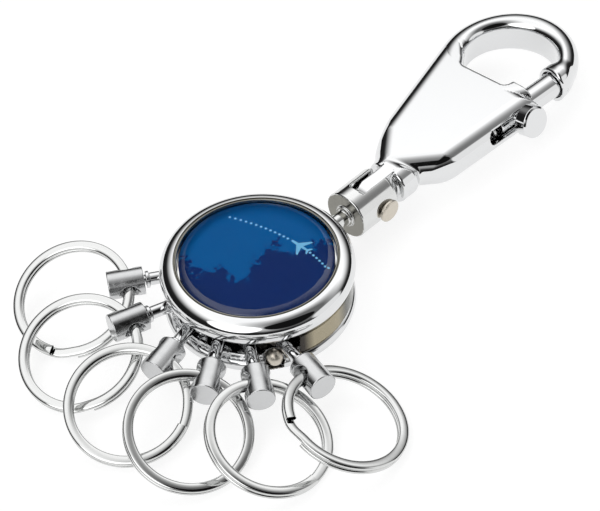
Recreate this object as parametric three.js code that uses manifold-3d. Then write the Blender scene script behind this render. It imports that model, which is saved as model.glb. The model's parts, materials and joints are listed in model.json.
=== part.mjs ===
// Key organiser: a round housing with six key holders that slide in a groove, and a snap hook on a swivel.
// Millimetres, +Z up. The origin is the centre of the housing's flat back. +X runs along the snap hook.
import * as THREE from 'three';
import { mergeVertices } from 'three/addons/utils/BufferGeometryUtils.js';
import Module from 'manifold-3d';

const wasm = await Module();
wasm.setup();

const DEG = Math.PI / 180;
const GAP = 0.3;

// Housing
const HOUSING_R = 17.3;
const BASE_TOP = 2.4;
const CEILING = 7.2;
const COVER_BULGE_R = 17.5;
const COVER_TOP = 11.7;
const INLAY_SEAT = 9.9;
const INLAY_R = 14.2;
const DOME_TOP = 12.2;
const MID_Z = 4.8;

// Groove in which the holders' ball heads run
const BALL_R = 2.1;
const BALL_CIRCLE_R = 12.8;
const HUB_R = 10.3;
const LIP_IN_R = 15.2;
const LIP_OUT_R = 16.0;
const MOUTH_HALF = 1.5;
const GROOVE_START = 100;
const GROOVE_END = 253.5;

// Key holders
const STEM_R = 1.2;
const BARREL_R = 2.6;
const BARREL_LENGTH = 6.6;
const BALL_TO_BARREL = 8.5;
const BARREL_TO_HOLE = 2.9;
const HOLE_R = 1.6;
const HOLE_FLARE = 0.5;
const JOURNAL_R = 0.9;
const JOURNAL_DEPTH = 0.7;

// Split rings
const RING_OUT_R = 11.3;
const RING_WIDTH = 1.8;
const RING_HEIGHT = 2.0;
const RING_CORNER = 0.55;
const RING_MID_R = RING_OUT_R - RING_WIDTH / 2;

// Rest place of each holder, in degrees: where its ball head is in the groove, how far its axis is
// turned from the radius, how far the barrel is turned, and how far its ring hangs and leans.
const HOLDERS = [
  { at: 122, yaw: 26, turn: -18, swing: 13, lean: 1.5 },
  { at: 151.5, yaw: 12, turn: -13.5, swing: 14.5, lean: 5 },
  { at: 172.5, yaw: 24.5, turn: -10, swing: 17, lean: -5 },
  { at: 197.5, yaw: 19.5, turn: -16.5, swing: 15, lean: -4.5 },
  { at: 219, yaw: 18, turn: -18.5, swing: 12, lean: 5 },
  { at: 241.5, yaw: 18.5, turn: -19.5, swing: 10.5, lean: 5 },
];

// Detent ball that keeps the holders from the exit of the groove
const LOCK_R = 1.6;
const LOCK_AT = 237.5;
const LOCK_CIRCLE_R = 15.8;
const LOCK_Z = 2.35;

// Swivel
const SWIVEL_YAW = 3.1;
const FORK_R = 4.7;
const FORK_START = 22.6;
const FORK_END = 32.2;
const FORK_SLOT_START = 25.5;
const FORK_STEM_R = 1.45;
const RIVET_X = 28.8;
const RIVET_R = 1.05;
const RIVET_HEAD_R = 2.2;
const RIVET_HEAD = 0.7;
const TONGUE_HALF = 1.45;
const CLIP_X = 11.9;
const CLIP_NECK_R = 0.95;
const CLIP_HALF = 0.35;

// Snap hook
const HOOK_HALF = 3.7;
const BODY_BEVEL = 1.7;
const COLLAR_START = 33.8;
const COLLAR_R = 4.4;
const BARREL_AXIS_Y = -1.4;
const GATE_BARREL_START = 39.8;
const GATE_BARREL_END = 67.8;
const BORE_R = 2.75;
const BORE_START = 44.8;
const LOOP_X = 72.7;
const LOOP_Y = 8.5;
const LOOP_A = 14.8;
const LOOP_B = 13.2;
const EYE_X = 72.9;
const EYE_Y = 7.6;
const EYE_R = 9.1;
const NOSE_X = 74.9;
const NOSE_R = 3.5;
const BOLT_R = 2.45;
const BOLT_START = 58.8;
const BOLT_END = 75.9;
const BUTTON_X = 63.2;
const BUTTON_TILT = 18;
const BUTTON_R = 3.1;
const BUTTON_NECK_R = 1.2;
const BUTTON_IN_Y = -5.8;
const BUTTON_OUT_Y = -8.6;
const SIDE_SLOT_START = 55.9;

const chrome = { color: 0xd8dadb, metalness: 1.0, roughness: 0.08 };
const steel = { color: 0xb9bbbd, metalness: 1.0, roughness: 0.3 };
const nickel = { color: 0xcfc6b4, metalness: 1.0, roughness: 0.25 };
const print = { color: 0x0f4f9a, metalness: 0.0, roughness: 0.4 };
const resin = { color: 0xbfd4ee, metalness: 0.0, roughness: 0.05, transparent: true, opacity: 0.35 };

// ---- solids -------------------------------------------------------------------------------------

function solid(geometry) {
  const bare = geometry.clone();
  bare.deleteAttribute('normal');
  bare.deleteAttribute('uv');
  const merged = mergeVertices(bare, 1e-4);
  const index = merged.index.array;
  const triangles = [];
  for (let i = 0; i < index.length; i += 3) {
    const [a, b, c] = [index[i], index[i + 1], index[i + 2]];
    if (a !== b && b !== c && a !== c) triangles.push(a, b, c);
  }
  const vertProperties = new Float32Array(merged.attributes.position.array);
  return new wasm.Manifold(new wasm.Mesh({ numProp: 3, vertProperties, triVerts: new Uint32Array(triangles) }));
}

function surface(manifold) {
  const mesh = manifold.getMesh();
  const geometry = new THREE.BufferGeometry();
  geometry.setAttribute('position', new THREE.BufferAttribute(new Float32Array(mesh.vertProperties), 3));
  geometry.setIndex(new THREE.BufferAttribute(new Uint32Array(mesh.triVerts), 1));
  return geometry;
}

function lathe(profile, segments = 40) {
  const points = profile.map(([radius, height]) => new THREE.Vector2(radius, height));
  return new THREE.LatheGeometry(points, segments).rotateX(Math.PI / 2);
}

// A turned shape along an axis that starts at a point
function turned(profile, start, direction, segments = 24) {
  const along = new THREE.Vector3(...direction).normalize();
  const turn = new THREE.Quaternion().setFromUnitVectors(new THREE.Vector3(0, 0, 1), along);
  return solid(lathe(profile, segments).applyQuaternion(turn).translate(...start));
}

function rod(radius, start, direction, length, segments = 24) {
  return turned([[0, 0], [radius, 0], [radius, length], [0, length]], start, direction, segments);
}

function block(size, centre) {
  return solid(new THREE.BoxGeometry(...size).translate(...centre));
}

function ballAt(radius, centre, segments = 20) {
  return solid(new THREE.SphereGeometry(radius, segments, segments / 2).translate(...centre));
}

function around(radius, degrees, z = 0) {
  return [radius * Math.cos(degrees * DEG), radius * Math.sin(degrees * DEG), z];
}

// ---- housing ------------------------------------------------------------------------------------

function lockNotch() {
  return rod(LOCK_R + GAP, around(LOCK_CIRCLE_R, LOCK_AT, 0.32), [0, 0, 1], 3, 20);
}

function basePlate() {
  const lipTop = MID_Z - MOUTH_HALF;
  const plate = solid(lathe([
    [0, 0], [16.2, 0], [17.0, 0.35], [HOUSING_R, 1.1], [17.1, 2.0], [16.6, BASE_TOP],
    [LIP_OUT_R, BASE_TOP], [LIP_OUT_R, lipTop], [LIP_IN_R, lipTop], [LIP_IN_R, BASE_TOP],
    [3.2, BASE_TOP], [3.2, 6.0], [0, 6.0],
  ], 44));
  const thread = rod(1.3, [0, 0, 1.2], [0, 0, 1], 6, 16);
  return plate.subtract(thread).subtract(lockNotch());
}

function grooveCore() {
  const low = BASE_TOP + GAP;
  const high = CEILING - GAP;
  const lipLow = MID_Z - MOUTH_HALF + GAP;
  const lipHigh = MID_Z + MOUTH_HALF - GAP;
  const wall = solid(lathe([
    [9, low], [14.9, low], [14.9, lipLow], [16.3, lipLow], [16.3, low], [16.9, low],
    [16.9, high], [16.3, high], [16.3, lipHigh], [14.9, lipHigh], [14.9, high], [9, high], [9, low],
  ], 48));
  const hub = solid(lathe([[3.5, low], [HUB_R, low], [HUB_R, high], [3.5, high], [3.5, low]], 36));
  const sector = new THREE.Shape();
  sector.moveTo(0, 0);
  const reach = 20;
  const steps = 12;
  const span = GROOVE_START + 360 - GROOVE_END;
  for (let i = 0; i <= steps; i += 1) {
    const [x, y] = around(reach, GROOVE_END + (span * i) / steps);
    sector.lineTo(x, y);
  }
  const wedge = solid(new THREE.ExtrudeGeometry(sector, { depth: 10, bevelEnabled: false }));
  const pocket = block([3.0, 6.0, 12], [CLIP_X, 0, MID_Z]);
  const stemHole = rod(FORK_STEM_R + GAP, [CLIP_X, 0, MID_Z], [1, 0, 0], 10, 20);
  return wall.intersect(wedge).add(hub).subtract(yawed(pocket)).subtract(yawed(stemHole));
}

function topCover() {
  const lipLow = MID_Z + MOUTH_HALF;
  const cover = solid(lathe([
    [0, CEILING], [LIP_IN_R, CEILING], [LIP_IN_R, lipLow], [LIP_OUT_R, lipLow], [LIP_OUT_R, CEILING],
    [16.5, CEILING - 0.3], [17.0, CEILING - 0.2], [17.35, 7.8], [COVER_BULGE_R, 8.8], [17.3, 10.0],
    [16.7, 11.0], [15.8, COVER_TOP - 0.15], [15.2, COVER_TOP], [14.6, 11.5], [INLAY_R, 11.2],
    [INLAY_R, INLAY_SEAT], [0, INLAY_SEAT],
  ], 44));
  const screwSeat = turned([[0, -3], [1.3, -3], [1.3, 1.6], [2.5, 2.8], [0, 2.8]], [0, 0, CEILING], [0, 0, 1], 20);
  return cover.subtract(screwSeat);
}

function inlayDisc() {
  return new THREE.CylinderGeometry(INLAY_R - GAP, INLAY_R - GAP, 0.3, 40).rotateX(Math.PI / 2)
    .translate(0, 0, INLAY_SEAT + GAP + 0.15);
}

function inlayDome() {
  const bottom = INLAY_SEAT + GAP + 0.3 + GAP;
  const edge = INLAY_R - GAP;
  const profile = [[0, bottom], [edge, bottom], [edge, bottom + 0.25]];
  for (const part of [0.93, 0.8, 0.55, 0]) {
    profile.push([edge * part, bottom + 0.25 + (DOME_TOP - bottom - 0.25) * (1 - part ** 2.6)]);
  }
  return lathe(profile, 40);
}

function assemblyScrew() {
  return lathe([[0, 1.5], [1.0, 1.5], [1.0, 8.6], [2.1, 9.7], [0, 9.7]], 16);
}

function lockBall() {
  return new THREE.SphereGeometry(LOCK_R, 16, 10).translate(...around(LOCK_CIRCLE_R, LOCK_AT, LOCK_Z));
}

// ---- swivel -------------------------------------------------------------------------------------

// The swivel's axis leaves the housing a few degrees off the snap hook's barrel
function yawed(shape) {
  return shape.rotate([0, 0, SWIVEL_YAW]);
}

function swivelFork() {
  const stemEnd = CLIP_X - 0.9;
  const body = turned([
    [0, stemEnd], [FORK_STEM_R, stemEnd], [FORK_STEM_R, CLIP_X - CLIP_HALF - 0.1],
    [CLIP_NECK_R, CLIP_X - CLIP_HALF - 0.1], [CLIP_NECK_R, CLIP_X + CLIP_HALF + 0.1],
    [FORK_STEM_R, CLIP_X + CLIP_HALF + 0.1], [FORK_STEM_R, FORK_START], [FORK_R - 0.5, FORK_START],
    [FORK_R, FORK_START + 0.5], [FORK_R, FORK_END - 0.8], [FORK_R - 0.8, FORK_END], [0, FORK_END],
  ], [0, 0, MID_Z], [1, 0, 0], 32);
  const slotHalf = TONGUE_HALF + GAP;
  const slot = block([10, 2 * slotHalf, 12], [FORK_SLOT_START + 5, 0, MID_Z]);
  const pinHole = rod(RIVET_R + GAP, [RIVET_X, -6, MID_Z], [0, 1, 0], 12, 20);
  return yawed(body.subtract(slot).subtract(pinHole));
}

function swivelClip() {
  const inner = CLIP_NECK_R + GAP;
  const outer = BALL_R - 0.05;
  const opening = 35 * DEG;
  const shape = new THREE.Shape();
  shape.absarc(0, 0, outer, opening, 2 * Math.PI - opening, false);
  shape.absarc(0, 0, inner, 2 * Math.PI - opening, opening, true);
  return new THREE.ExtrudeGeometry(shape, { depth: 2 * CLIP_HALF - 0.2, bevelEnabled: false, curveSegments: 12 })
    .rotateY(Math.PI / 2).translate(CLIP_X - CLIP_HALF + 0.1, 0, MID_Z).rotateZ(SWIVEL_YAW * DEG);
}

function rivetPin() {
  const face = FORK_R + GAP;
  const half = face + RIVET_HEAD;
  return yawed(turned([
    [0, -half], [RIVET_HEAD_R - 0.25, -half], [RIVET_HEAD_R, -half + 0.2], [RIVET_HEAD_R, -face], [RIVET_R, -face],
    [RIVET_R, face], [RIVET_HEAD_R, face], [RIVET_HEAD_R, half - 0.2], [RIVET_HEAD_R - 0.25, half], [0, half],
  ], [RIVET_X, 0, MID_Z], [0, 1, 0], 20));
}

// ---- snap hook ----------------------------------------------------------------------------------

// Plan view of the hook's flat body, its loop still closed
function hookOutline() {
  const shape = new THREE.Shape();
  const loopLow = LOOP_Y - LOOP_B;
  const loopEnd = 110.6 * DEG;
  shape.moveTo(35.4, 6.3);
  shape.lineTo(35.4, -1.9);
  shape.lineTo(39.6, -2.1);
  shape.lineTo(42.2, BARREL_AXIS_Y);
  shape.lineTo(GATE_BARREL_END + 0.6, BARREL_AXIS_Y);
  shape.lineTo(GATE_BARREL_END + 0.6, loopLow);
  shape.lineTo(LOOP_X, loopLow);
  shape.absellipse(LOOP_X, LOOP_Y, LOOP_A, LOOP_B, -90 * DEG, loopEnd, false);
  shape.lineTo(45.5, 13.5);
  shape.bezierCurveTo(42.5, 12.6, 40.0, 11.2, 38.4, 9.4);
  shape.bezierCurveTo(37.3, 8.1, 36.8, 6.8, 35.4, 6.3);
  return shape;
}

// A plate wider than the hook's loop, with the loop's opening in it
function eyePlate() {
  const plate = new THREE.Shape();
  plate.absarc(EYE_X - 10, EYE_Y, 40, 0, 2 * Math.PI, false);
  const eye = new THREE.Path();
  eye.absarc(EYE_X, EYE_Y, EYE_R, -50 * DEG, 122 * DEG, false);
  eye.lineTo(64.9, 12.6);
  eye.lineTo(65.3, 7.1);
  eye.bezierCurveTo(65.5, 4.6, 65.9, 3.2, 67.2, 2.4);
  eye.lineTo(GATE_BARREL_END + 1.2, 1.0);
  plate.holes.push(eye);
  return plate;
}

// The button and its slot are turned a little upwards about the barrel's axis
function tilted(shape) {
  return shape.translate([0, -BARREL_AXIS_Y, -MID_Z]).rotate([-BUTTON_TILT, 0, 0])
    .translate([0, BARREL_AXIS_Y, MID_Z]);
}

function softEdged(shape) {
  const flat = new THREE.ExtrudeGeometry(shape, {
    depth: 2 * (HOOK_HALF - BODY_BEVEL), curveSegments: 9,
    bevelEnabled: true, bevelThickness: BODY_BEVEL, bevelSize: BODY_BEVEL, bevelOffset: -BODY_BEVEL, bevelSegments: 2,
  });
  return solid(flat.translate(0, 0, MID_Z - HOOK_HALF + BODY_BEVEL));
}

function hookBody() {
  const flat = softEdged(hookOutline()).intersect(softEdged(eyePlate()));
  const barrelLength = GATE_BARREL_END - GATE_BARREL_START;
  const barrel = turned([
    [0, 0], [1.7, 0.25], [3.0, 1.2], [HOOK_HALF, 3.2], [HOOK_HALF, barrelLength - 0.4],
    [HOOK_HALF - 0.4, barrelLength], [0, barrelLength],
  ], [GATE_BARREL_START, BARREL_AXIS_Y, MID_Z], [1, 0, 0], 28);
  const collar = turned([
    [0, 0], [COLLAR_R - 1.0, 0], [COLLAR_R - 0.3, 0.5], [COLLAR_R, 1.8], [COLLAR_R - 0.1, 3.2],
    [COLLAR_R - 0.5, 4.6], [3.3, 6.0], [2.4, 8.0], [0, 8.4],
  ], [0, 0, 0], [1, 0, 0], 28).scale([1, 1, HOOK_HALF / COLLAR_R + 0.03])
    .translate([COLLAR_START, 0, MID_Z]);
  const tongue = rod(2.9, [RIVET_X, -TONGUE_HALF, MID_Z], [0, 1, 0], 2 * TONGUE_HALF, 28)
    .add(block([6, 2 * TONGUE_HALF, 5.8], [RIVET_X + 3, 0, MID_Z]));
  const pinHole = rod(RIVET_R + GAP, [RIVET_X, -6, MID_Z], [0, 1, 0], 12, 20);
  const boreLength = GATE_BARREL_END - BORE_START + 1;
  const bore = rod(BORE_R, [BORE_START, BARREL_AXIS_Y, MID_Z], [1, 0, 0], boreLength, 24);
  const slotR = BUTTON_NECK_R + GAP;
  const slotLength = BUTTON_X - SIDE_SLOT_START;
  const sideSlot = tilted(rod(slotR, [SIDE_SLOT_START, BARREL_AXIS_Y, MID_Z], [0, -1, 0], 8, 20)
    .add(rod(slotR, [BUTTON_X, BARREL_AXIS_Y, MID_Z], [0, -1, 0], 8, 20))
    .add(block([slotLength, 8, 2 * slotR], [SIDE_SLOT_START + slotLength / 2, BARREL_AXIS_Y - 4, MID_Z])));
  const mouthWidth = NOSE_X - GATE_BARREL_END;
  const mouth = block([mouthWidth, 9, 12], [GATE_BARREL_END + mouthWidth / 2, BARREL_AXIS_Y - 1.4, MID_Z]);
  const recess = rod(BORE_R, [NOSE_X - 1, BARREL_AXIS_Y, MID_Z], [1, 0, 0], 2.3, 24);
  const nose = turned([
    [0, 0], [NOSE_R - 0.5, 0], [NOSE_R, 0.5], [NOSE_R, 2.2], [NOSE_R - 0.6, 4.4], [1.6, 6.4], [0, 6.8],
  ], [NOSE_X, BARREL_AXIS_Y, MID_Z], [1, 0, 0], 28);
  const opened = flat.subtract(mouth).add(barrel).add(nose).add(yawed(collar.add(tongue)));
  return opened.subtract(yawed(pinHole)).subtract(bore).subtract(sideSlot).subtract(recess);
}

function gateBolt() {
  const length = BOLT_END - BOLT_START;
  const bolt = turned([
    [0, 0], [BOLT_R - 0.3, 0], [BOLT_R, 0.3], [BOLT_R, length - 0.5], [BOLT_R - 0.5, length], [0, length],
  ], [BOLT_START, BARREL_AXIS_Y, MID_Z], [1, 0, 0], 28);
  return bolt.subtract(tilted(rod(BUTTON_NECK_R + GAP, [BUTTON_X, BARREL_AXIS_Y, MID_Z], [0, -1, 0], 5, 20)));
}

function thumbButton() {
  const thickness = BUTTON_IN_Y - BUTTON_OUT_Y;
  const neck = BARREL_AXIS_Y - 0.5 - BUTTON_IN_Y;
  return tilted(turned([
    [0, 0], [BUTTON_NECK_R, 0], [BUTTON_NECK_R, neck], [BUTTON_R - 0.4, neck], [BUTTON_R, neck + 0.4],
    [BUTTON_R, neck + thickness - 0.4], [BUTTON_R - 0.4, neck + thickness], [0, neck + thickness],
  ], [BUTTON_X, BARREL_AXIS_Y - 0.5, MID_Z], [0, -1, 0], 28));
}

class Helix extends THREE.Curve {
  constructor(radius, length, turns) {
    super();
    Object.assign(this, { radius, length, turns });
  }

  getPoint(t, target = new THREE.Vector3()) {
    const angle = 2 * Math.PI * this.turns * t;
    return target.set(this.length * t, this.radius * Math.cos(angle), this.radius * Math.sin(angle));
  }
}

function gateSpring() {
  const wire = 0.35;
  const turns = 6;
  const section = new THREE.Shape();
  section.absarc(0, 0, wire, 0, 2 * Math.PI, false);
  const length = BOLT_START - BORE_START - 2 * (GAP + wire);
  return new THREE.ExtrudeGeometry(section, {
    steps: 10 * turns, curveSegments: 3, bevelEnabled: false, extrudePath: new Helix(1.9, length, turns),
  }).translate(BORE_START + GAP + wire, BARREL_AXIS_Y, MID_Z);
}

// ---- key holders --------------------------------------------------------------------------------

// A holder's own frame: origin at its ball head, +X out along its stem, +Z up
function holderPin() {
  const barrelAt = BALL_TO_BARREL;
  return ballAt(BALL_R, [0, 0, 0], 16)
    .add(turned([
      [0, 0], [STEM_R, 0], [STEM_R, barrelAt - 1.1], [STEM_R + 0.35, barrelAt - 0.8], [STEM_R + 0.35, barrelAt - GAP],
      [JOURNAL_R, barrelAt - GAP], [JOURNAL_R, barrelAt + JOURNAL_DEPTH], [0, barrelAt + JOURNAL_DEPTH],
    ], [0, 0, 0], [1, 0, 0], 16));
}

function holderBarrel() {
  const chamfer = 0.25;
  const sleeve = turned([
    [0, 0], [BARREL_R - chamfer, 0], [BARREL_R, chamfer], [BARREL_R, BARREL_LENGTH - chamfer],
    [BARREL_R - chamfer, BARREL_LENGTH], [0, BARREL_LENGTH],
  ], [BALL_TO_BARREL, 0, 0], [1, 0, 0], 20);
  const journal = rod(JOURNAL_R + GAP, [BALL_TO_BARREL - 1, 0, 0], [1, 0, 0], 1 + JOURNAL_DEPTH + GAP, 12);
  const reach = BARREL_R + 0.4;
  const hole = turned([
    [0, -reach], [HOLE_R + HOLE_FLARE, -reach], [HOLE_R, -reach + 1.4], [HOLE_R, reach - 1.4],
    [HOLE_R + HOLE_FLARE, reach], [0, reach],
  ], [BALL_TO_BARREL + BARREL_TO_HOLE, 0, 0], [0, 1, 0], 16);
  return sleeve.subtract(journal).subtract(hole);
}

function keyRing() {
  const inner = RING_OUT_R - RING_WIDTH;
  const half = RING_HEIGHT / 2;
  const c = RING_CORNER;
  return lathe([
    [inner + c, -half], [RING_OUT_R - c, -half], [RING_OUT_R, -half + c], [RING_OUT_R, half - c],
    [RING_OUT_R - c, half], [inner + c, half], [inner, half - c], [inner, -half + c], [inner + c, -half],
  ], 34);
}

// ---- assembly -----------------------------------------------------------------------------------

const organiser = new THREE.Group();

function place(parent, name, shape, finish) {
  const geometry = shape.isBufferGeometry ? shape : surface(shape);
  const mesh = new THREE.Mesh(geometry, new THREE.MeshStandardMaterial(finish));
  mesh.name = name;
  parent.add(mesh);
  return mesh;
}

place(organiser, 'base_plate', basePlate(), chrome);
place(organiser, 'groove_core', grooveCore(), chrome);
place(organiser, 'top_cover', topCover(), chrome);
place(organiser, 'inlay_disc', inlayDisc(), print);
place(organiser, 'inlay_dome', inlayDome(), resin);
place(organiser, 'assembly_screw', assemblyScrew(), steel);
place(organiser, 'lock_ball', lockBall(), nickel);
place(organiser, 'swivel_fork', swivelFork(), chrome);
place(organiser, 'swivel_clip', swivelClip(), steel);
place(organiser, 'rivet_pin', rivetPin(), nickel);
place(organiser, 'hook_body', hookBody(), chrome);
place(organiser, 'gate_bolt', gateBolt(), chrome);
place(organiser, 'thumb_button', thumbButton(), chrome);
place(organiser, 'gate_spring', gateSpring(), steel);

HOLDERS.forEach(({ at, yaw, turn, swing, lean }, i) => {
  const holder = new THREE.Group();
  holder.position.set(...around(BALL_CIRCLE_R, at, MID_Z));
  holder.rotation.z = (at + yaw) * DEG;
  organiser.add(holder);
  place(holder, `holder_pin_${i + 1}`, holderPin(), chrome);

  const turning = new THREE.Group();
  turning.rotation.x = turn * DEG;
  holder.add(turning);
  place(turning, `holder_barrel_${i + 1}`, holderBarrel(), chrome);

  const hanging = new THREE.Group();
  hanging.position.x = BALL_TO_BARREL + BARREL_TO_HOLE;
  hanging.rotation.y = swing * DEG;
  turning.add(hanging);
  const leaning = new THREE.Group();
  leaning.rotation.z = lean * DEG;
  hanging.add(leaning);
  place(leaning, `key_ring_${i + 1}`, keyRing(), chrome).position.x = RING_MID_R;
});

organiser.updateMatrixWorld(true);

export default organiser;
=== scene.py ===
"""Looks for the key organiser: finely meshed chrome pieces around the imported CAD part."""
import json
import math

import bpy
import numpy as np
from mathutils import Matrix, Vector


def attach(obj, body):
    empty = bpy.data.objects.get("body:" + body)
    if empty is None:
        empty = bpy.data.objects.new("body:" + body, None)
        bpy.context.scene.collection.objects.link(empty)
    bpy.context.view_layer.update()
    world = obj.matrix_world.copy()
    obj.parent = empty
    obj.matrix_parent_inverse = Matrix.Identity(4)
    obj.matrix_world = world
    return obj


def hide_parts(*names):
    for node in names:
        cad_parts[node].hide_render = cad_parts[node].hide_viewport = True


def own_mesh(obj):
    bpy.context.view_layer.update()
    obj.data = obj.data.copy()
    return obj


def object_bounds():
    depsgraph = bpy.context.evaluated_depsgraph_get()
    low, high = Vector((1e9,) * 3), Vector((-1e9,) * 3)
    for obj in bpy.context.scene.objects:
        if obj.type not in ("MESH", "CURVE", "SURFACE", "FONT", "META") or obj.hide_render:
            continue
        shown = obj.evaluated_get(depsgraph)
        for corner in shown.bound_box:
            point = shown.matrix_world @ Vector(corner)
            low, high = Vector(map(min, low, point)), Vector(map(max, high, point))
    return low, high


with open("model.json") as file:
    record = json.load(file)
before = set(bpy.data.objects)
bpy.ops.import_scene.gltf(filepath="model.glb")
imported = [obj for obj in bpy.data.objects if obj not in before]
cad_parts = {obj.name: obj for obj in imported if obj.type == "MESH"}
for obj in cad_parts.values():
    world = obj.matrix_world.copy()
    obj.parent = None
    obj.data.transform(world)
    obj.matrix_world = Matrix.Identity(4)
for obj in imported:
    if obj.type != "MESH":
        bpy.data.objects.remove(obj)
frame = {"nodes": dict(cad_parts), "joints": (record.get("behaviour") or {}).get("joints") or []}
cad_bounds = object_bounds()

MM = 0.001

# The part's driving dimensions, in millimetres
MID_Z = 4.8
BASE_R = 17.3
BASE_TOP = 2.4
CEILING = 7.2
COVER_R = 17.5
INLAY_R = 14.2
INLAY_SEAT = 9.9
DOME_TOP = 12.15
GROOVE_START = 100.0
GROOVE_END = 253.5
LOCK_R = 1.6
LOCK_AT = 237.5
LOCK_CIRCLE_R = 15.8
LOCK_Z = 2.35
FORK_R = 4.7
FORK_START = 22.6
FORK_END = 32.1
FORK_SLOT_START = 25.5
FORK_SLOT_HALF = 1.75
FORK_STEM_R = 1.45
FORK_STEM_START = 11.0
RIVET_X = 28.8
RIVET_R = 1.05
RIVET_HEAD_R = 2.2
HOOK_HALF = 3.7
HOOK_ROUND = 3.5
COLLAR_START = 33.8
TONGUE_HALF = 1.45
GATE_Y = -1.4
GATE_BARREL_END = 67.8
BORE_START = 44.8
BORE_R = 2.75
BOLT_R = 2.45
BOLT_START = 58.8
BOLT_END = 75.9
NOSE_X = 74.9
NOSE_R = 3.5
BUTTON_X = 63.2
BUTTON_TILT = 18.0
BUTTON_R = 3.1
BUTTON_NECK_R = 1.2
BUTTON_IN = 4.4
BUTTON_OUT = 7.2
SIDE_SLOT_START = 55.9
LOOP_CENTRE = (72.7, 8.5)
LOOP_A = 14.8
LOOP_B = 13.2
EYE_CENTRE = (72.9, 7.6)
EYE_R = 9.1
BALL_R = 2.1
STEM_R = 1.2
BARREL_R = 2.6
BARREL_START = 8.5
BARREL_LENGTH = 6.6
HOLE_AT = 11.4
HOLE_R = 1.6
RING_OUT_R = 11.3
RING_WIDTH = 1.8
RING_HEIGHT = 2.0

# Details of the looks, in millimetres and degrees
WALL_R = 17
SHADE_R = 14.9
RESIN_EDGE_R = 12.75
DOME_STEPS = 40
DOME_SQUARENESS = 0.42
FAR_EDGE_DEGREES = 108.5
SHOULDER = (38.7, 9.9)
HEEL = (41.0, -3.4)
EYE_CORNER = (64.6, 12.6)
SPLIT_DEGREES = (70, 60, 115, 75, 50, -95)
JOG_DEGREES = 13

# How closely the meshes follow their shapes
SKIN_PASSES = 5
LOWEST_SLOPE = 0.3
SHARP_DEGREES = 24

joints = {joint["name"]: joint for joint in frame["joints"]}


# ---- meshes -------------------------------------------------------------------------------------

def make_object(name, vertices, faces, normals, body, material, replaced):
    """One finished piece, from vertices in millimetres in the frame shared with the CAD.

    The normals are one per vertex, or one per face corner where the piece has sharp edges.
    """
    mesh = bpy.data.meshes.new(name)
    mesh.from_pydata([tuple(v) for v in np.asarray(vertices) * MM], [], faces)
    mesh.update()
    mesh.polygons.foreach_set("use_smooth", [True] * len(mesh.polygons))
    if len(normals) == len(mesh.vertices):
        mesh.normals_split_custom_set_from_vertices([tuple(n) for n in normals])
    else:
        mesh.normals_split_custom_set([tuple(n) for n in normals])
    piece = bpy.data.objects.new(name, mesh)
    bpy.context.scene.collection.objects.link(piece)
    piece.data.materials.append(material)
    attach(piece, body)
    if replaced:
        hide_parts(*replaced)
    return piece


def gradient(field, points, reach=0.01):
    """The unit direction in which a field grows at each point, and how fast it grows."""
    out = np.zeros_like(points)
    for axis in range(3):
        step = np.zeros(3)
        step[axis] = reach
        out[:, axis] = field(points + step) - field(points - step)
    length = np.linalg.norm(out, axis=1, keepdims=True)
    return out / np.maximum(length, 1e-12), length / (2 * reach)


def skin(field, low, high, step):
    """Vertices, quads and normals of the surface where a distance field is zero."""
    axes = [np.arange(low[i], high[i] + step, step) for i in range(3)]
    grid = np.stack(np.meshgrid(*axes, indexing="ij"), axis=-1)
    shape = grid.shape[:3]
    inside = (field(grid.reshape(-1, 3)) < 0).reshape(shape)
    count = np.zeros([n - 1 for n in shape], int)
    for i in (0, 1):
        for j in (0, 1):
            for k in (0, 1):
                count += inside[i:shape[0] - 1 + i, j:shape[1] - 1 + j, k:shape[2] - 1 + k]
    active = (count > 0) & (count < 8)
    index = -np.ones(active.shape, int)
    index[active] = np.arange(active.sum())
    cells = np.argwhere(active)
    points = np.array([a[0] for a in axes]) + (cells + 0.5) * step
    for _ in range(SKIN_PASSES):
        direction, slope = gradient(field, points)
        move = field(points)[:, None] / np.maximum(slope, LOWEST_SLOPE)
        points = points - direction * np.clip(move, -step, step)
    normals, _ = gradient(field, points)
    quads = []
    for a in range(3):
        b, c = (a + 1) % 3, (a + 2) % 3
        first = np.take(inside, range(shape[a] - 1), axis=a)
        second = np.take(inside, range(1, shape[a]), axis=a)
        edges = np.argwhere(first != second)
        inner_b = (edges[:, b] > 0) & (edges[:, b] < shape[b] - 1)
        inner_c = (edges[:, c] > 0) & (edges[:, c] < shape[c] - 1)
        edges = edges[inner_b & inner_c]
        corners = []
        for db, dc in ((-1, -1), (0, -1), (0, 0), (-1, 0)):
            cell = edges.copy()
            cell[:, b] += db
            cell[:, c] += dc
            corners.append(index[cell[:, 0], cell[:, 1], cell[:, 2]])
        quad = np.stack(corners, axis=1)
        outward = first[edges[:, 0], edges[:, 1], edges[:, 2]]
        quad[~outward] = quad[~outward][:, ::-1]
        quads.append(quad)
    return points, np.concatenate(quads).tolist(), normals


def skinned(name, field, low, high, step, body, material, replaced, place=None):
    """A piece from a distance field in its own frame; place holds that frame's origin and its axes."""
    points, quads, normals = skin(field, low, high, step)
    if place is not None:
        origin, axes = place
        points = points @ axes + origin
        normals = normals @ axes
    return make_object(name, points, quads, normals, body, material, replaced)


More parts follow.
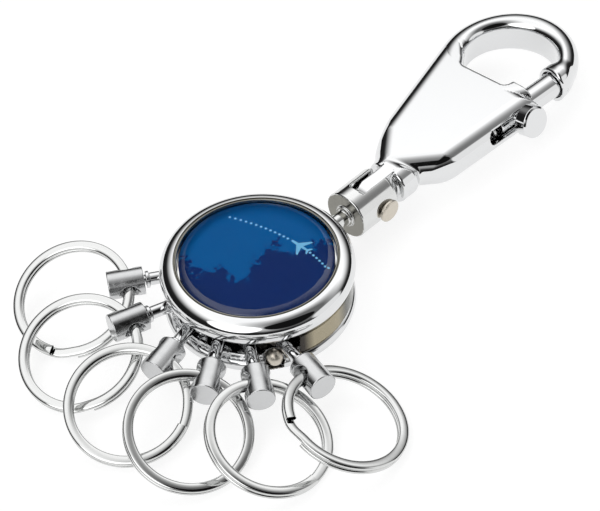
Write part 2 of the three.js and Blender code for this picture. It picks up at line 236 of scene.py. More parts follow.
def filleted(corners, steps=8, guard=0.03):
    """A profile with each (radius, height, fillet) corner rounded, as a list of points."""
    out = []
    last = len(corners) - 1
    for i, (r, h, fillet) in enumerate(corners):
        here = np.array([r, h], float)
        if fillet <= 0 or i in (0, last):
            out.append(here)
            continue
        before = np.array(corners[i - 1][:2], float) - here
        after = np.array(corners[i + 1][:2], float) - here
        ub, ua = before / np.linalg.norm(before), after / np.linalg.norm(after)
        half = math.acos(np.clip(ub @ ua, -1, 1)) / 2
        reach = min(fillet / math.tan(half), 0.48 * np.linalg.norm(before), 0.48 * np.linalg.norm(after))
        radius = reach * math.tan(half)
        bisector = (ub + ua) / np.linalg.norm(ub + ua)
        centre = here + bisector * (radius / math.sin(half))
        start, end = here + ub * reach, here + ua * reach
        out.append(start + ub * guard)
        a0 = math.atan2(*(start - centre)[::-1])
        a1 = math.atan2(*(end - centre)[::-1])
        sweep = (a1 - a0 + math.pi) % (2 * math.pi) - math.pi
        for k in range(steps + 1):
            a = a0 + sweep * k / steps
            out.append(centre + radius * np.array([math.cos(a), math.sin(a)]))
        out.append(end + ua * guard)
    return out


def corner_normals(points, closed):
    """The normal before and after each point of a profile, split where the profile turns sharply."""
    count = len(points)
    segments = count if closed else count - 1
    flat = []
    for i in range(segments):
        d = points[(i + 1) % count] - points[i]
        flat.append(np.array([d[1], -d[0]]) / max(np.linalg.norm(d), 1e-9))
    pairs = []
    for i in range(count):
        before = flat[(i - 1) % segments] if closed or i > 0 else flat[0]
        after = flat[i % segments] if closed or i < segments else flat[-1]
        if before @ after > math.cos(math.radians(SHARP_DEGREES)):
            shared = (before + after) / np.linalg.norm(before + after)
            before = after = shared
        pairs.append((before, after))
    return pairs


def turned(name, profile, body, material, replaced,
           origin=(0, 0, 0), axis=(0, 0, 1), segments=128):
    """A lathe piece. The profile runs from the axis at the bottom, outwards and up, back to the axis."""
    points = [np.array(p, float) for p in profile]
    pairs = corner_normals(points, False)
    turn = Vector((0, 0, 1)).rotation_difference(Vector(axis)).to_matrix()
    rotate = np.array(turn)
    angles = np.arange(segments) * 2 * math.pi / segments
    vertices, rings = [], []
    for r, h in points:
        if r < 1e-6:
            rings.append([len(vertices)] * segments)
            vertices.append((0, 0, h))
        else:
            rings.append(list(range(len(vertices), len(vertices) + segments)))
            vertices += [(r * math.cos(a), r * math.sin(a), h) for a in angles]
    faces, normals = [], []
    count = len(points)
    for i in range(count - 1):
        k = i + 1
        for j in range(segments):
            n = (j + 1) % segments
            corners = [(rings[i][j], angles[j], pairs[i][1]), (rings[i][n], angles[n], pairs[i][1]),
                       (rings[k][n], angles[n], pairs[k][0]), (rings[k][j], angles[j], pairs[k][0])]
            kept = []
            for corner in corners:
                if corner[0] not in [c[0] for c in kept]:
                    kept.append(corner)
            if len(kept) < 3:
                continue
            faces.append([c[0] for c in kept])
            for _, a, (nr, nh) in kept:
                normals.append((nr * math.cos(a), nr * math.sin(a), nh))
    vertices = np.array(vertices) @ rotate.T + np.array(origin)
    normals = np.array(normals) @ rotate.T
    return make_object(name, vertices, faces, normals, body, material, replaced)


def swept(name, section, path, sides, ups, body, material, replaced):
    """A closed section of (side, up) points carried along a path, with flat ends."""
    section = [np.array(p, float) for p in section]
    if np.cross(sides[0], ups[0]) @ (path[1] - path[0]) < 0:
        path, sides, ups = path[::-1], sides[::-1], ups[::-1]
    pairs = corner_normals(section, True)
    count, length = len(section), len(path)
    vertices = np.array([path[i] + sides[i] * p[0] + ups[i] * p[1]
                         for i in range(length) for p in section])
    faces, normals = [], []
    for i in range(length - 1):
        for j in range(count):
            k = (j + 1) % count
            faces.append([i * count + j, i * count + k, (i + 1) * count + k, (i + 1) * count + j])
            ends = ((i, pairs[j][1]), (i, pairs[k][0]), (i + 1, pairs[k][0]), (i + 1, pairs[j][1]))
            for row, pair in ends:
                normals.append(sides[row] * pair[0] + ups[row] * pair[1])
    for row, order in ((0, -1), (length - 1, 1)):
        ring = list(range(row * count, (row + 1) * count))[::order]
        faces.append(ring)
        along = np.cross(sides[row], ups[row]) * -order
        normals += [along] * count
    return make_object(name, vertices, faces, np.array(normals), body, material, replaced)


# ---- distance fields, in millimetres ------------------------------------------------------------

def both(a, b, r=0.0):
    """The overlap of two solids, with the edge between them rounded."""
    if np.ndim(r) == 0 and r <= 0:
        return np.maximum(a, b)
    return np.minimum(-r, np.maximum(a, b)) + np.hypot(np.maximum(r + a, 0), np.maximum(r + b, 0))


def either(a, b, r=0.0):
    """Two solids joined, with the corner between them filled."""
    if r <= 0:
        return np.minimum(a, b)
    return np.maximum(r, np.minimum(a, b)) - np.hypot(np.maximum(r - a, 0), np.maximum(r - b, 0))


def less(a, b, r=0.0):
    """One solid cut by another, with the cut's edge rounded."""
    return both(a, -b, r)


def melt(a, b, k):
    """Two solids joined by a soft slope that begins k away from where they meet."""
    h = np.maximum(k - np.abs(a - b), 0) / k
    return np.minimum(a, b) - h * h * k / 4


def slab(v, centre, half):
    """The space within half of centre along one coordinate."""
    return np.abs(v - centre) - half


# ---- materials ----------------------------------------------------------------------------------

def shader(name):
    material = bpy.data.materials.new(name)
    material.use_nodes = True
    nodes = material.node_tree.nodes
    return material, nodes, material.node_tree.links, nodes["Principled BSDF"]


def metal(name, colour, rough_low, rough_high, grain=900.0, bump=0.05, stretch=(1, 1, 1)):
    """Plated metal: fine polishing marks in its roughness, and a faint orange-peel in its surface."""
    material, nodes, links, principled = shader(name)
    principled.inputs["Base Color"].default_value = (*colour, 1)
    principled.inputs["Metallic"].default_value = 1.0
    where = nodes.new("ShaderNodeTexCoord")
    mapping = nodes.new("ShaderNodeMapping")
    mapping.inputs["Scale"].default_value = stretch
    links.new(where.outputs["Object"], mapping.inputs["Vector"])
    marks = nodes.new("ShaderNodeTexNoise")
    marks.inputs["Scale"].default_value = grain
    marks.inputs["Detail"].default_value = 5
    links.new(mapping.outputs["Vector"], marks.inputs["Vector"])
    spread = nodes.new("ShaderNodeMapRange")
    spread.inputs["From Min"].default_value = 0.35
    spread.inputs["From Max"].default_value = 0.65
    spread.inputs["To Min"].default_value = rough_low
    spread.inputs["To Max"].default_value = rough_high
    links.new(marks.outputs["Fac"], spread.inputs["Value"])
    links.new(spread.outputs["Result"], principled.inputs["Roughness"])
    peel = nodes.new("ShaderNodeTexNoise")
    peel.inputs["Scale"].default_value = grain * 0.35
    peel.inputs["Detail"].default_value = 2
    links.new(mapping.outputs["Vector"], peel.inputs["Vector"])
    bumping = nodes.new("ShaderNodeBump")
    bumping.inputs["Strength"].default_value = bump
    bumping.inputs["Distance"].default_value = 0.00005
    links.new(peel.outputs["Fac"], bumping.inputs["Height"])
    links.new(bumping.outputs["Normal"], principled.inputs["Normal"])
    return material


CHROME = metal("mirror_chrome", (0.73, 0.735, 0.74), 0.015, 0.05)
CHROME_HOOK = metal("hook_chrome", (0.74, 0.745, 0.75), 0.03, 0.08)
CHROME_FORK = metal("fork_chrome", (0.70, 0.705, 0.70), 0.06, 0.14)
CHROME_BARREL = metal("barrel_chrome", (0.58, 0.585, 0.59), 0.16, 0.26, bump=0.1)
CHROME_RING = metal("ring_chrome", (0.66, 0.665, 0.66), 0.04, 0.12, grain=1400, bump=0.15)
# painted shade: a darker metal standing in for the dark reflections on the cover's inner groove and the
# fork's rear face
CHROME_PAINTED_SHADE = metal("shaded_chrome", (0.24, 0.235, 0.21), 0.12, 0.25)
NICKEL = metal("dull_nickel", (0.62, 0.575, 0.50), 0.28, 0.42, grain=2200, bump=0.3, stretch=(1, 1, 6))
WIRE = metal("spring_wire", (0.6, 0.6, 0.6), 0.2, 0.3)


def wall_painted_reflection_material():
    """The groove's wall: a warm plating with painted reflections in its colour, bands that darken along
    the wall and then clear.
    """
    material = metal("groove_wall_with_painted_reflections", (0.4, 0.4, 0.4), 0.15, 0.3)
    nodes, links = material.node_tree.nodes, material.node_tree.links
    where = nodes.new("ShaderNodeTexCoord")
    split = nodes.new("ShaderNodeSeparateXYZ")
    links.new(where.outputs["Object"], split.inputs["Vector"])
    spread = nodes.new("ShaderNodeMapRange")
    spread.inputs["From Min"].default_value = -WALL_R * MM
    spread.inputs["From Max"].default_value = WALL_R * MM
    links.new(split.outputs["X"], spread.inputs["Value"])
    painted_reflection_ramp = nodes.new("ShaderNodeValToRGB")
    # painted reflections: dark and light bands of colour set by position across the wall
    stops = [
        (0.0, (0.04, 0.04, 0.04)), (0.38, (0.05, 0.045, 0.04)), (0.44, (0.36, 0.32, 0.23)),
        (0.62, (0.33, 0.29, 0.20)), (0.70, (0.07, 0.07, 0.06)), (0.85, (0.22, 0.22, 0.21)),
        (1.0, (0.62, 0.62, 0.61)),
    ]
    elements = painted_reflection_ramp.color_ramp.elements
    for position, _ in stops[1:-1]:
        elements.new(position)
    for element, (position, colour) in zip(elements, stops):
        element.position = position
        element.color = (*colour, 1)
    links.new(spread.outputs["Result"], painted_reflection_ramp.inputs["Fac"])
    links.new(painted_reflection_ramp.outputs["Color"], nodes["Principled BSDF"].inputs["Base Color"])
    return material


GROOVE_WALL_PAINTED_REFLECTION = wall_painted_reflection_material()


SEA = (0.004, 0.028, 0.155, 1)
LAND = (0.0, 0.118, 0.38, 1)


def print_material():
    """A printed map: land in mid blue on a deep blue sea, with a ragged coast."""
    material, nodes, links, principled = shader("map_print")
    where = nodes.new("ShaderNodeTexCoord")
    mapping = nodes.new("ShaderNodeMapping")
    mapping.inputs["Location"].default_value = (0.35, 1.9, 0.0)
    mapping.inputs["Scale"].default_value = (1, 1, 0)
    links.new(where.outputs["Object"], mapping.inputs["Vector"])
    coast = nodes.new("ShaderNodeTexNoise")
    coast.inputs["Scale"].default_value = 80
    coast.inputs["Detail"].default_value = 9
    coast.inputs["Roughness"].default_value = 0.7
    links.new(mapping.outputs["Vector"], coast.inputs["Vector"])
    lean = nodes.new("ShaderNodeVectorMath")
    lean.operation = "DOT_PRODUCT"
    lean.inputs[1].default_value = (12.0, 16.0, 0.0)
    links.new(where.outputs["Object"], lean.inputs[0])
    total = nodes.new("ShaderNodeMath")
    total.operation = "ADD"
    links.new(coast.outputs["Fac"], total.inputs[0])
    links.new(lean.outputs["Value"], total.inputs[1])
    shore = nodes.new("ShaderNodeValToRGB")
    shore.color_ramp.elements[0].position = 0.50
    shore.color_ramp.elements[0].color = SEA
    shore.color_ramp.elements[1].position = 0.507
    shore.color_ramp.elements[1].color = LAND
    links.new(total.outputs["Value"], shore.inputs["Fac"])
    links.new(shore.outputs["Color"], principled.inputs["Base Color"])
    principled.inputs["Roughness"].default_value = 0.45
    principled.inputs["Specular IOR Level"].default_value = 0.04
    return material


def resin_material(name, index):
    """Clear resin with a faint ripple; a low index keeps its face free of mirrored light."""
    material, nodes, links, principled = shader(name)
    principled.inputs["Base Color"].default_value = (0.97, 0.985, 1.0, 1)
    principled.inputs["Transmission Weight"].default_value = 1.0
    principled.inputs["IOR"].default_value = index
    ripple = nodes.new("ShaderNodeTexNoise")
    ripple.inputs["Scale"].default_value = 120
    ripple.inputs["Detail"].default_value = 1
    where = nodes.new("ShaderNodeTexCoord")
    links.new(where.outputs["Object"], ripple.inputs["Vector"])
    spread = nodes.new("ShaderNodeMapRange")
    spread.inputs["To Min"].default_value = 0.0
    spread.inputs["To Max"].default_value = 0.04
    links.new(ripple.outputs["Fac"], spread.inputs["Value"])
    links.new(spread.outputs["Result"], principled.inputs["Roughness"])
    return material


def ink_material():
    """The pale ink of the printed route."""
    material, nodes, links, principled = shader("pale_ink")
    principled.inputs["Base Color"].default_value = (0.19, 0.6, 0.91, 1)
    speckle = nodes.new("ShaderNodeTexNoise")
    speckle.inputs["Scale"].default_value = 1500
    spread = nodes.new("ShaderNodeMapRange")
    spread.inputs["To Min"].default_value = 0.4
    spread.inputs["To Max"].default_value = 0.55
    links.new(speckle.outputs["Fac"], spread.inputs["Value"])
    links.new(spread.outputs["Result"], principled.inputs["Roughness"])
    return material


PRINT = print_material()
RESIN = resin_material("clear_resin", 1.06)
RESIN_EDGE = resin_material("clear_resin_edge", 1.6)
INK = ink_material()


# ---- housing ------------------------------------------------------------------------------------

def base_plate():
    lock = LOCK_CIRCLE_R * np.array([math.cos(math.radians(LOCK_AT)), math.sin(math.radians(LOCK_AT))])

    def field(p):
        r = np.hypot(p[:, 0], p[:, 1])
        plate = both(r - BASE_R, slab(p[:, 2], BASE_TOP / 2, BASE_TOP / 2), 1.05)
        lip = both(slab(r, 15.6, 0.4), slab(p[:, 2], 2.6, 0.7), 0.2)
        notch = np.hypot(p[:, 0] - lock[0], p[:, 1] - lock[1]) - LOCK_R - 0.3
        well = both(notch, 0.32 - p[:, 2])
        return less(either(plate, lip, 0.15), well, 0.18)

    reach = BASE_R + 0.6
    skinned("base_plate_skin", field, (-reach, -reach, -0.6), (reach, reach, 4.0), 0.25,
            "housing", CHROME, ["base_plate"])


def groove_core():
    def field(p):
        r = np.hypot(p[:, 0], p[:, 1])
        angle = np.degrees(np.arctan2(p[:, 1], p[:, 0])) % 360
        middle = (GROOVE_START + GROOVE_END) / 2
        half = (GROOVE_END - GROOVE_START) / 2
        open_side = (np.abs(angle - middle) - half) * math.radians(1) * np.maximum(r, 1)
        level = slab(p[:, 2], (BASE_TOP + CEILING) / 2, (CEILING - BASE_TOP) / 2 - 0.3)
        wall = both(both(slab(r, 12.9, 4.0), -open_side, 0.3), level, 0.15)
        hub = both(slab(r, 6.9, 3.4), level, 0.15)
        stem = np.hypot(p[:, 1], p[:, 2] - MID_Z) - FORK_STEM_R - 0.3
        passage = both(stem, 10.0 - p[:, 0])
        return less(either(wall, hub), passage, 0.2)

    # the wall's material carries painted reflections in bands across it
    skinned("groove_core_skin", field, (-17.5, -17.5, 2.2), (17.5, 17.5, 7.4), 0.3,
            "housing", GROOVE_WALL_PAINTED_REFLECTION, ["groove_core"])


def top_cover():
    profile = filleted([
        (0, CEILING, 0), (15.2, CEILING, 0.05), (15.2, 6.3, 0.15),
        (16.0, 6.3, 0.2), (16.0, 6.95, 0.1), (16.5, 6.95, 0.25),
    ])
    centre_r, centre_h, wide, tall = 14.75, 8.95, COVER_R - 14.75, 2.7
    crest_start, crest_end, crest_steps = -47, 88, 36
    for k in range(crest_steps + 1):
        a = math.radians(crest_start + (crest_end - crest_start) * k / crest_steps)
        profile.append(np.array([centre_r + wide * math.cos(a), centre_h + tall * math.sin(a)]))
    profile += filleted([
        (14.84, 11.62, 0), (14.76, 11.35, 0.05), (14.62, 11.35, 0.05),
        (14.5, 11.6, 0.06), (14.3, 11.6, 0.08),
        (INLAY_R, 11.2, 0.1), (INLAY_R, INLAY_SEAT, 0.05), (0, INLAY_SEAT, 0),
    ])
    piece = turned("top_cover_skin", profile, "housing", CHROME, ["top_cover"], segments=200)
    # painted shade on the cover's inner groove, between the inlay's edge and SHADE_R
    piece.data.materials.append(CHROME_PAINTED_SHADE)
    for face in piece.data.polygons:
        r, height = math.hypot(face.center.x, face.center.y) / MM, face.center.z / MM
        if INLAY_R - 0.05 < r < SHADE_R and height > INLAY_SEAT + 0.2:
            face.material_index = 1


def inlay():
    low = INLAY_SEAT + 0.3
    edge = INLAY_R - 0.3
    disc = filleted([(0, low, 0), (edge, low, 0.05), (edge, low + 0.3, 0.05), (0, low + 0.3, 0)])
    turned("inlay_disc_print", disc, "housing", PRINT, ["inlay_disc"], segments=160)
    bottom = low + 0.6
    dome = [np.array([0, bottom]), np.array([edge, bottom])]
    top_edge = bottom + 0.2
    for k in range(DOME_STEPS):
        a = math.pi / 2 * k / DOME_STEPS
        height = top_edge + (DOME_TOP - top_edge) * math.sin(a)
        dome.append(np.array([edge * math.cos(a) ** DOME_SQUARENESS, height]))
    dome.append(np.array([0.0, DOME_TOP]))
    piece = turned("inlay_dome_resin", dome, "housing", RESIN, ["inlay_dome"], segments=160)
    piece.data.materials.append(RESIN_EDGE)
    for face in piece.data.polygons:
        if math.hypot(face.center.x, face.center.y) > RESIN_EDGE_R * MM:
            face.material_index = 1


def flat_shape(name, outlines, height, thickness, body, material):
    """Thin printed shapes: each outline is a list of (x, y) points, run counter-clockwise."""
    vertices, faces = [], []
    for outline in outlines:
        first, count = len(vertices), len(outline)
        vertices += [(x, y, height + thickness) for x, y in outline]
        vertices += [(x, y, height) for x, y in outline]
        faces.append(list(range(first, first + count)))
        faces.append(list(range(first + 2 * count - 1, first + count - 1, -1)))
        for i in range(count):
            k = (i + 1) % count
            faces.append([first + i, first + count + i, first + count + k, first + k])
    mesh = bpy.data.meshes.new(name)
    mesh.from_pydata([tuple(c * MM for c in v) for v in vertices], [], faces)
    mesh.update()
    piece = bpy.data.objects.new(name, mesh)
    bpy.context.scene.collection.objects.link(piece)
    piece.data.materials.append(material)
    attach(piece, body)
    return piece


def route():
    """A dotted flight route across the map, with a small aeroplane on it."""
    level = INLAY_SEAT + 0.6 + 0.002
    start, bend, end = np.array([3.6, 12.0]), np.array([9.6, -0.5]), np.array([7.2, -11.0])
    count, plane_at, plane_gap = 25, 0.63, 0.095
    dots, dot_r = [], 0.25
    for k in range(count):
        t = (k + 0.5) / count
        if abs(t - plane_at) < plane_gap:
            continue
        spot = (1 - t) ** 2 * start + 2 * t * (1 - t) * bend + t * t * end
        dots.append([(spot[0] + dot_r * math.cos(a), spot[1] + dot_r * math.sin(a))
                     for a in np.arange(10) * math.pi / 5])
    flat_shape("route_dots", dots, level, 0.03, "housing", INK)
    t = plane_at
    spot = (1 - t) ** 2 * start + 2 * t * (1 - t) * bend + t * t * end
    ahead = 2 * (1 - t) * (bend - start) + 2 * t * (end - bend)
    ahead = -ahead / np.linalg.norm(ahead)
    across = np.array([-ahead[1], ahead[0]])
    half = [(2.2, 0.0), (2.0, 0.24), (0.75, 0.29), (-0.75, 2.0), (-1.15, 2.0), (-0.4, 0.27),
            (-1.5, 0.2), (-1.95, 0.8), (-2.25, 0.8), (-1.95, 0.0)]
    outline = half + [(x, -y) for x, y in half[-2:0:-1]]
    outline = [tuple(spot + ahead * x + across * y) for x, y in outline]
    flat_shape("route_plane", [outline], level, 0.03, "housing", INK)


def lock_ball():
    at = math.radians(LOCK_AT)
    place = (LOCK_CIRCLE_R * math.cos(at), LOCK_CIRCLE_R * math.sin(at), LOCK_Z)
    profile = [np.array([LOCK_R * math.sin(a), -LOCK_R * math.cos(a)])
               for a in np.linspace(0, math.pi, 33)]
    profile[0][0] = profile[-1][0] = 0
    turned("lock_ball_skin", profile, "lock", NICKEL, ["lock_ball"], origin=place, segments=48)


# ---- swivel and hook ----------------------------------------------------------------------------

def swivel_frame():
    """A point on the swivel's axis at x = 0, and its axes: along, sideways and up."""
    along = np.array(joints["swivel_turn"]["axis"], float)
    along /= np.linalg.norm(along)
    up = np.array([0.0, 0.0, 1.0])
    return np.array([0.0, 0.0, MID_Z]), np.array([along, np.cross(up, along), up])


def in_swivel(p):
    origin, axes = swivel_frame()
    return (p - origin) @ axes.T


def swivel_fork():
    def field(p):
        x, y, z = p[:, 0], p[:, 1], p[:, 2]
        radial = np.hypot(y, z)
        body = both(radial - FORK_R, FORK_START - x, 0.28)
        body = both(body, x - FORK_END, 0.9)
        stem = both(radial - FORK_STEM_R, slab(x, 17.2, 6.2), 0.15)
        boss = both(radial - 2.1, slab(x, FORK_START, 0.45), 0.2)
        slot = both(slab(y, 0, FORK_SLOT_HALF), FORK_SLOT_START - x, 0.3)
        hole = np.hypot(x - RIVET_X, z) - RIVET_R - 0.2
        solid = less(either(either(body, boss, 0.1), stem, 0.25), slot, 0.16)
        return less(solid, hole, 0.1)

    low, high = (FORK_STEM_START - 0.5, -5.2, -5.2), (FORK_END + 0.6, 5.2, 5.2)
    piece = skinned("swivel_fork_skin", field, low, high, 0.2,
                    "swivel", CHROME_FORK, ["swivel_fork"], place=swivel_frame())
    # painted shade on the fork's rear face, the faces that look back along the swivel
    piece.data.materials.append(CHROME_PAINTED_SHADE)
    along = swivel_frame()[1][0]
    for face in piece.data.polygons:
        if face.normal.dot(Vector(along)) < -0.97:
            face.material_index = 1


def rivet_pin():
    origin, axes = swivel_frame()
    face, head = FORK_R + 0.3, 0.7
    end = face + head
    profile = filleted([
        (0, -end, 0), (RIVET_HEAD_R - 0.4, -end + 0.03, 0.2), (RIVET_HEAD_R, -end + 0.25, 0.2),
        (RIVET_HEAD_R, -face, 0.05), (RIVET_R, -face, 0.02), (RIVET_R, FORK_R + 0.02, 0.12),
        (0, FORK_R + 0.05, 0),
    ], steps=5)
    turned("rivet_pin_skin", profile, "swivel", NICKEL, ["rivet_pin"],
           origin=origin + axes[0] * RIVET_X, axis=axes[1], segments=64)


def half_plane(p, point, degrees):
    """Distance outside a line through point whose outward normal points at that angle."""
    a = math.radians(degrees)
    return (p[:, 0] - point[0]) * math.cos(a) + (p[:, 1] - point[1]) * math.sin(a)


def loop_plan(p):
    """Distance outside the hook's oval loop, in plan."""
    x, y = p[:, 0] - LOOP_CENTRE[0], p[:, 1] - LOOP_CENTRE[1]
    k = np.hypot(x / LOOP_A, y / LOOP_B)
    return (k - 1) * k / np.maximum(np.hypot(x / LOOP_A ** 2, y / LOOP_B ** 2), 1e-6)


def hook_plan(p):
    """Distance outside the hook's outline in plan, its loop still filled."""
    lean = math.radians(FAR_EDGE_DEGREES)
    reach = math.hypot(LOOP_A * math.cos(lean), LOOP_B * math.sin(lean))
    far = half_plane(p, LOOP_CENTRE, FAR_EDGE_DEGREES) - reach
    shoulder = half_plane(p, SHOULDER, 131)
    heel = half_plane(p, HEEL, 232)
    near = GATE_Y - HOOK_HALF - p[:, 1]
    web = both(both(far, shoulder, 2.4), both(near, heel, 2.2))
    web = both(web, p[:, 0] - GATE_BARREL_END)
    q = in_swivel(p)
    bulb = both(slab(q[:, 0], 35.2, 3.3), slab(q[:, 1], 0, 4.5), 1.6)
    return np.minimum(melt(web, bulb, 1.2), loop_plan(p))


def eye_opening(p):
    """Distance outside the hook's eye: a circle with a squarer corner towards the swivel."""
    x, y = p[:, 0], p[:, 1]
    top = half_plane(p, EYE_CORNER, 130)
    left = half_plane(p, EYE_CORNER, 187)
    round_part = np.hypot(x - EYE_CENTRE[0], y - EYE_CENTRE[1]) - EYE_R
    eye = np.minimum(round_part, both(both(top, x - 67.6), 5.0 - y))
    eye = both(eye, left, 0.3)
    return both(eye, np.minimum(2.5 - y, GATE_BARREL_END + 0.6 - x), 0.8)


def hook_field(p):
    """The whole hook: flat body and loop with rounded edges, nose, tongue, bore and side slot."""
    x, y, z = p[:, 0], p[:, 1], p[:, 2] - MID_Z
    level = np.abs(z) - HOOK_HALF
    solid = both(hook_plan(p), level, HOOK_ROUND)
    rim = 0.9 + 0.9 * np.clip((x - 66.0) / 4.0, 0, 1)
    solid = less(solid, eye_opening(p), rim)

    middle, width = (GATE_BARREL_END + NOSE_X) / 2, (NOSE_X - GATE_BARREL_END) / 2
    solid = less(solid, both(slab(x, middle, width), y - 3.5), 0.35)
    radial = np.hypot(y - GATE_Y, z)
    nose = both(both(radial - NOSE_R, loop_plan(p), 2.0), x - 79.5, 3.0)
    solid = melt(solid, both(nose, NOSE_X - x, 0.45), 1.2)

    q = in_swivel(p)
    solid = both(solid, COLLAR_START - q[:, 0], 0.45)
    across, up = q[:, 1], q[:, 2]
    end = np.hypot(q[:, 0] - RIVET_X, np.maximum(np.abs(up) - 0.7, 0)) - 2.9
    strap = both(slab(q[:, 0], 31.6, 31.6 - RIVET_X), slab(up, 0, 3.6))
    tongue = both(np.minimum(end, strap), slab(across, 0, TONGUE_HALF), 0.3)
    root = both(np.hypot(across, up) - 3.1, slab(q[:, 0], COLLAR_START, 0.35), 0.2)
    solid = either(either(solid, root, 0.1), tongue, 0.25)

    hole = np.hypot(q[:, 0] - RIVET_X, up) - RIVET_R - 0.2
    bore_end = GATE_BARREL_END + 1
    bore_reach = slab(x, (BORE_START + bore_end) / 2, (bore_end - BORE_START) / 2)
    bore = both(radial - BORE_R, bore_reach)
    recess = both(radial - BORE_R, slab(x, NOSE_X + 0.2, 1.3))
    tilt = math.radians(BUTTON_TILT)
    out = -(y - GATE_Y) * math.cos(tilt) + z * math.sin(tilt)
    over = (y - GATE_Y) * math.sin(tilt) + z * math.cos(tilt)
    side = np.hypot(x - np.clip(x, SIDE_SLOT_START, BUTTON_X), over) - BUTTON_NECK_R - 0.3
    solid = less(solid, hole, 0.1)
    solid = less(solid, bore, 0.25)
    solid = less(solid, recess, 0.3)
    return less(solid, both(side, -out), 0.2)


def hook_body():
    low, high = (25.2, -6.4, MID_Z - 4.3), (88.6, 22.6, MID_Z + 4.3)
    skinned("hook_body_skin", hook_field, low, high, 0.28,
            "hook", CHROME_HOOK, ["hook_body"])


def gate():
    length = BOLT_END - BOLT_START
    profile = filleted([(0, 0, 0), (BOLT_R, 0, 0.25), (BOLT_R, length, 0.45), (0, length, 0)], steps=6)
    turned("gate_bolt_skin", profile, "gate", CHROME, ["gate_bolt"],
           origin=(BOLT_START, GATE_Y, MID_Z), axis=(1, 0, 0), segments=96)
    profile = filleted([
        (0, 0.5, 0), (BUTTON_NECK_R, 0.5, 0.1), (BUTTON_NECK_R, BUTTON_IN, 0.12),
        (BUTTON_R - 0.25, BUTTON_IN, 0.1), (BUTTON_R, BUTTON_IN + 0.25, 0.15),
        (BUTTON_R, BUTTON_OUT - 0.32, 0.22), (BUTTON_R - 0.38, BUTTON_OUT, 0.3),
        (0, BUTTON_OUT + 0.02, 0),
    ], steps=6)
    tilt = math.radians(BUTTON_TILT)
    turned("thumb_button_skin", profile, "gate", CHROME_HOOK, ["thumb_button"],
           origin=(BUTTON_X, GATE_Y, MID_Z), axis=(0, -math.cos(tilt), math.sin(tilt)), segments=96)


def gate_spring():
    wire, turns, coil = 0.35, 7, 1.9
    start = BORE_START + 0.65
    length = BOLT_START - BORE_START - 1.3
    path, sides, ups = [], [], []
    steps = turns * 28
    for i in range(steps + 1):
        t = i / steps
        a = 2 * math.pi * turns * t
        radial = np.array([0, math.cos(a), math.sin(a)])
        pace = coil * 2 * math.pi * turns
        tangent = np.array([length, -pace * math.sin(a), pace * math.cos(a)])
        tangent /= np.linalg.norm(tangent)
        path.append(np.array([start + length * t, GATE_Y, MID_Z]) + radial * coil)
        sides.append(radial)
        ups.append(np.cross(tangent, radial))
    section = [(wire * math.cos(a), wire * math.sin(a)) for a in np.arange(12) * math.pi / 6]
    piece = swept("gate_spring_coil", section, path, sides, ups,
                  "hook", WIRE, ["gate_spring"])
    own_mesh(piece)


# ---- key holders --------------------------------------------------------------------------------

def holder_frame(i):
    """A holder's ball centre, and its axes: along the stem, along the cross hole, across both."""
    turn, swing = joints[f"barrel_{i}_turn"], joints[f"ring_{i}_swing"]
    origin = np.array(turn["pos_m"]) / MM
    along = np.array(turn["axis"], float)
    across = np.array(swing["axis"], float)
    along /= np.linalg.norm(along)
    across /= np.linalg.norm(across)
    return origin, np.array([along, across, np.cross(along, across)])


def pin_field(p):
    """A ball-headed pin with a collar where it enters its barrel."""
    x, radial = p[:, 0], np.hypot(p[:, 1], p[:, 2])
    ball = np.linalg.norm(p, axis=1) - BALL_R
    stem = both(radial - STEM_R, slab(x, 4.0, 4.0), 0.05)
    collar = both(radial - STEM_R - 0.4, slab(x, BARREL_START - 0.65, 0.33), 0.12)
    journal = both(radial - 0.9, slab(x, 8.3, 0.85), 0.05)
    return np.minimum(either(either(ball, stem, 0.3), collar, 0.15), journal)


def barrel_field(p):
    """A short sleeve with a flared cross hole for the ring and a socket for the pin."""
    x, y, z = p[:, 0], p[:, 1], p[:, 2]
    radial = np.hypot(y, z)
    middle = BARREL_START + BARREL_LENGTH / 2
    sleeve = both(radial - BARREL_R, slab(x, middle, BARREL_LENGTH / 2), 0.16)
    flare = HOLE_R + np.clip(np.abs(y) - 1.2, 0, 3) * 0.35
    hole = np.hypot(x - HOLE_AT, z) - flare
    socket = both(radial - 1.2, x - 9.6)
    return less(less(sleeve, hole * 0.94, 0.2), socket, 0.1)


def rounded(value, power=0.8):
    """Turns an ellipse's sine or cosine into a slightly squarer curve's."""
    return math.copysign(abs(value) ** power, value)


def split_ring(i):
    """Two flat coils of spring wire that change places at the split."""
    node = frame["nodes"][f"key_ring_{i}"]
    centre = np.array([v.co for v in node.data.vertices], float).mean(axis=0) / MM
    swing = joints[f"ring_{i}_swing"]
    hole_axis = np.array(swing["axis"], float)
    outward = centre - np.array(swing["pos_m"]) / MM
    normal = np.cross(hole_axis, outward)
    normal /= np.linalg.norm(normal)
    if normal[2] < 0:
        normal = -normal
    outward /= np.linalg.norm(outward)
    sideways = np.cross(normal, outward)
    coil_half = RING_HEIGHT / 4 - 0.02
    half_width = RING_WIDTH / 2
    middle_r = RING_OUT_R - half_width
    split = math.radians(SPLIT_DEGREES[i - 1])
    jog = math.radians(JOG_DEGREES)
    path, sides, ups = [], [], []
    steps = 300
    for k in range(steps + 1):
        a = jog + (4 * math.pi - 2 * jog) * k / steps
        across = min(max((a - (2 * math.pi - jog)) / (2 * jog), 0), 1)
        lift = (across * across * (3 - 2 * across) - 0.5) * 2 * (coil_half + 0.02)
        radial = outward * math.cos(a + split) + sideways * math.sin(a + split)
        path.append(centre + radial * middle_r + normal * lift)
        sides.append(radial)
        ups.append(normal)
    section = [(half_width * rounded(math.cos(a)), coil_half * rounded(math.sin(a)))
               for a in np.arange(28) * math.pi / 14]
    swept(f"key_ring_{i}_coil", section, path, sides, ups,
          f"ring_{i}", CHROME_RING, [f"key_ring_{i}"])


